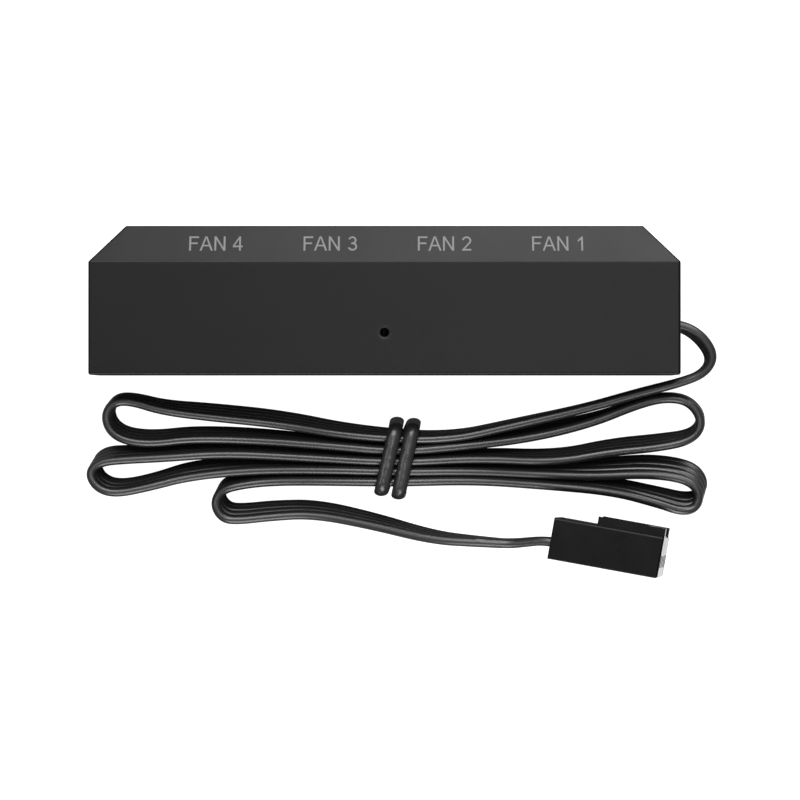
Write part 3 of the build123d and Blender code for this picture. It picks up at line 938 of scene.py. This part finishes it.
@dataclass
class PortLabels:
    """Printed port names on the bevel above the sockets, counting down towards the far end.

    Attributes:
        count: Number of ports.
        pitch: Pitch of the sockets.
        shift: How far the print sits towards the cable's end.
        bevel_depth: Depth of the bevel in plan.
        bevel_drop: Height of the bevel.
        cap_height: Height of the letters along the slope.
        letter_width: Width along the hub of one unit of the letters.
        letter_middle: Height of the letters' middle, in cap heights.
        ink: Thickness of the print.
    """

    count: int = 4
    pitch: float = 0.01314
    shift: float = 0.0003
    bevel_depth: float = 0.0042
    bevel_drop: float = 0.0026
    cap_height: float = 0.00197
    letter_width: float = 0.00163
    letter_middle: float = 0.5
    ink: float = 0.00002

    def slope(self) -> Matrix:
        """Finds the middle of the bevel.

        Returns:
            A frame with X along the hub, Y up the print and Z out of the surface.
        """
        _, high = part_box("housing")
        fall = math.atan2(self.bevel_drop, self.bevel_depth)
        middle = Vector((self.shift, high.y - self.bevel_depth / 2, high.z - self.bevel_drop / 2))
        return Matrix.Translation(middle) @ Matrix.Rotation(-fall, 4, "X")

    def letters(self, words: str) -> bpy.types.Mesh:
        """Fills a line of letters, one unit high and centred.

        Args:
            words: What it says.

        Returns:
            The letters' mesh.
        """
        curve = bpy.data.curves.new("label", "CURVE")
        curve.dimensions = "2D"
        curve.fill_mode = "FRONT"
        start = -sum(LETTERS[character].advance for character in words) / 2
        for character in words:
            letter = LETTERS[character]
            for contour in letter.contours:
                spline = curve.splines.new("POLY")
                spline.points.add(len(contour) - 1)
                for point, (along, up) in zip(spline.points, contour):
                    point.co = (start + letter.bearing + along, up - self.letter_middle, 0.0, 1.0)
                spline.use_cyclic_u = True
            start += letter.advance
        carrier = bpy.data.objects.new("label", curve)
        mesh = bpy.data.meshes.new_from_object(carrier)
        bpy.data.curves.remove(curve)
        return mesh

    def build(self, finish: bpy.types.Material) -> None:
        """Builds the labels.

        Args:
            finish: The ink's material.
        """
        size = Matrix.Diagonal((self.letter_width, self.cap_height, 1.0, 1.0))
        for number in range(1, self.count + 1):
            middle = ((self.count + 1) / 2 - number) * self.pitch
            mesh = self.letters(f"FAN {number}")
            mesh.name = f"port_label_{number}"
            mesh.transform(self.slope() @ Matrix.Translation((middle, 0.0, self.ink)) @ size)
            mesh.materials.clear()
            mesh.materials.append(finish)
            settle(bpy.data.objects.new(mesh.name, mesh))


@dataclass(frozen=True)
class Softbox:
    """A rectangular studio light that points at the object.

    Attributes:
        name: The light's name.
        azimuth: Direction it stands in, in degrees from the front.
        elevation: Height above the horizon, in degrees.
        distance: Distance from the object.
        size: Width and height.
        radiance: Brightness of its face.
    """

    name: str
    azimuth: float
    elevation: float
    distance: float
    size: tuple[float, float]
    radiance: float

    def build(self, target: Vector) -> None:
        """Hangs the light.

        Args:
            target: Point that it faces.
        """
        light = bpy.data.lights.new(self.name, "AREA")
        light.shape = "RECTANGLE"
        light.size, light.size_y = self.size
        light.energy = self.radiance * math.pi * self.size[0] * self.size[1]
        lamp = bpy.data.objects.new(self.name, light)
        turn, rise = math.radians(self.azimuth), math.radians(self.elevation)
        level = math.cos(rise)
        back = Vector((math.sin(turn) * level, -math.cos(turn) * level, math.sin(rise)))
        facing = back.to_track_quat("Z", "Y").to_matrix().to_4x4()
        lamp.matrix_world = Matrix.Translation(target + back * self.distance) @ facing
        lamp.visible_camera = False
        bpy.context.scene.collection.objects.link(lamp)


@dataclass
class Studio:
    """White backdrop, soft lights and a camera straight above the part.

    Attributes:
        camera_place: Where the camera hangs.
        lens: Focal length in millimetres.
        sensor: Sensor width in millimetres.
        floor_size: Side of the floor.
        floor_grey: Share of the light that the floor returns.
        floor_roughness: The floor's roughness.
        backdrop_glow: Light that the backdrop gives off.
        table_drop: How far the table that the part's surfaces mirror lies below the backdrop.
        card_place: Middle of the white card that the plug's end mirrors.
        card_side: Side of the card.
        card_glow: Light that the card gives off.
        zenith: Brightness of the surroundings overhead.
        horizon: Brightness of the surroundings at the horizon.
        lights: The softboxes.
    """

    camera_place: Point = (0.00178, -0.01148, 0.5237)
    lens: float = 200.0
    sensor: float = 36.0
    floor_size: float = 6.0
    floor_grey: float = 0.3
    floor_roughness: float = 0.9
    backdrop_glow: float = 1.05
    table_drop: float = 0.0001
    card_place: Point = (0.0385, -0.0300, -0.00005)
    card_side: float = 0.014
    card_glow: float = 1.8
    zenith: float = 0.5
    horizon: float = 0.05
    lights: Sequence[Softbox] = (
        Softbox("rear_low_light", 163.0, 25.0, 0.6, (0.5, 0.20), 8.0),
        Softbox("rear_high_light", 180.0, 60.0, 0.6, (0.26, 0.30), 8.0),
        Softbox("front_light", 0.0, 30.0, 0.6, (0.26, 0.34), 7.0),
        Softbox("left_light", -90.0, 58.0, 0.6, (0.14, 0.14), 4.5),
        Softbox("overhead_light", 90.0, 85.4, 0.6, (0.1, 0.1), 6.4),
    )

    def sheet(self, name: str, middle: Point, side: float, glow: float) -> bpy.types.Object:
        """Lays a flat square sheet.

        Args:
            name: Its name.
            middle: Place of its middle.
            side: Length of its sides.
            glow: Light that it gives off by itself.

        Returns:
            The sheet's object.
        """
        half = side / 2
        mesh = bpy.data.meshes.new(name)
        corners = [(-half, -half, 0.0), (half, -half, 0.0), (half, half, 0.0), (-half, half, 0.0)]
        mesh.from_pydata([Vector(middle) + Vector(corner) for corner in corners], [], [(0, 1, 2, 3)])
        material = bpy.data.materials.new(name)
        material.use_nodes = True
        shader = material.node_tree.nodes["Principled BSDF"]
        shader.inputs["Base Color"].default_value = (self.floor_grey,) * 3 + (1.0,)
        shader.inputs["Roughness"].default_value = self.floor_roughness
        shader.inputs["Emission Color"].default_value = WHITE
        shader.inputs["Emission Strength"].default_value = glow
        mesh.materials.append(material)
        sheet = bpy.data.objects.new(name, mesh)
        bpy.context.scene.collection.objects.link(sheet)
        return sheet

    def floors(self) -> None:
        """Lays the backdrop that is seen, the table that the part mirrors and the plug's card."""
        backdrop = self.sheet("backdrop", (0.0, 0.0, 0.0), self.floor_size, self.backdrop_glow)
        backdrop.visible_diffuse = False
        backdrop.visible_glossy = False
        backdrop.visible_shadow = False
        table = self.sheet("table", (0.0, 0.0, -self.table_drop), self.floor_size, 0.0)
        table.visible_camera = False
        card = self.sheet("plug_card", self.card_place, self.card_side, self.card_glow)
        card.visible_camera = False
        card.visible_diffuse = False
        card.visible_shadow = False

    def surroundings(self) -> None:
        """Sets the soft grey surroundings, lighter overhead."""
        world = bpy.data.worlds.new("studio")
        world.use_nodes = True
        bench = NodeBench(world.node_tree)
        direction = bench.add("ShaderNodeTexCoord")
        split = bench.add("ShaderNodeSeparateXYZ")
        bench.join(direction.outputs["Generated"], split.inputs["Vector"])
        sky = bench.tint(split.outputs["Z"], (self.horizon,) * 3, (self.zenith,) * 3)
        bench.join(sky, world.node_tree.nodes["Background"].inputs["Color"])
        bpy.context.scene.world = world

    def camera(self) -> None:
        """Hangs the camera straight above the part, with the sockets' side at the top."""
        data = bpy.data.cameras.new("camera")
        data.lens = self.lens
        data.sensor_width = self.sensor
        camera = bpy.data.objects.new("camera", data)
        camera.location = self.camera_place
        bpy.context.scene.collection.objects.link(camera)
        bpy.context.scene.camera = camera

    def build(self) -> None:
        """Builds the whole studio."""
        self.camera()
        self.floors()
        self.surroundings()
        for light in self.lights:
            light.build(Vector((self.camera_place[0], self.camera_place[1], 0.0)))
        bpy.context.scene.view_settings.view_transform = "Standard"
        log.info("studio with %d lights", len(self.lights))


def main() -> None:
    """Builds the studio, dresses the hub and lays out its lead."""
    logging.basicConfig(level=logging.INFO, format="%(name)s: %(message)s")
    Studio().build()
    cable = CABLE.make()
    ports = range(1, PortLabels.count + 1)
    dress(SHELL.make(), ("housing", "base_plate"))
    dress(SCREW.make(), ("base_screws",))
    dress(BOARD.make(), ("circuit_board",))
    dress(NYLON.make(), [f"fan_header_{port}" for port in ports])
    pins = PLATING.make()
    dress(pins, [f"header_pins_{port}" for port in ports])
    dress(pins, ("plug_contacts",))
    dress(RESIN.make(), ("status_led",))
    dress(CERAMIC.make(), ("led_resistor",))
    dress(TIN.make(), ("board_wires",))
    dress(PLUG.make(), ("plug_housing",))
    dress(cable, ("cable_inlet",))
    PortLabels().build(LABEL.make())
    lead = RibbonLead()
    tie = TwistTie().build(lead, TIE.make())
    wires = FanPlug().build(lead, cable)
    plug = [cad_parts[name] for name in ("plug_housing", "plug_contacts")]
    lead.build(cable, [tie, wires, *plug])


if __name__ == "__main__":
    main()
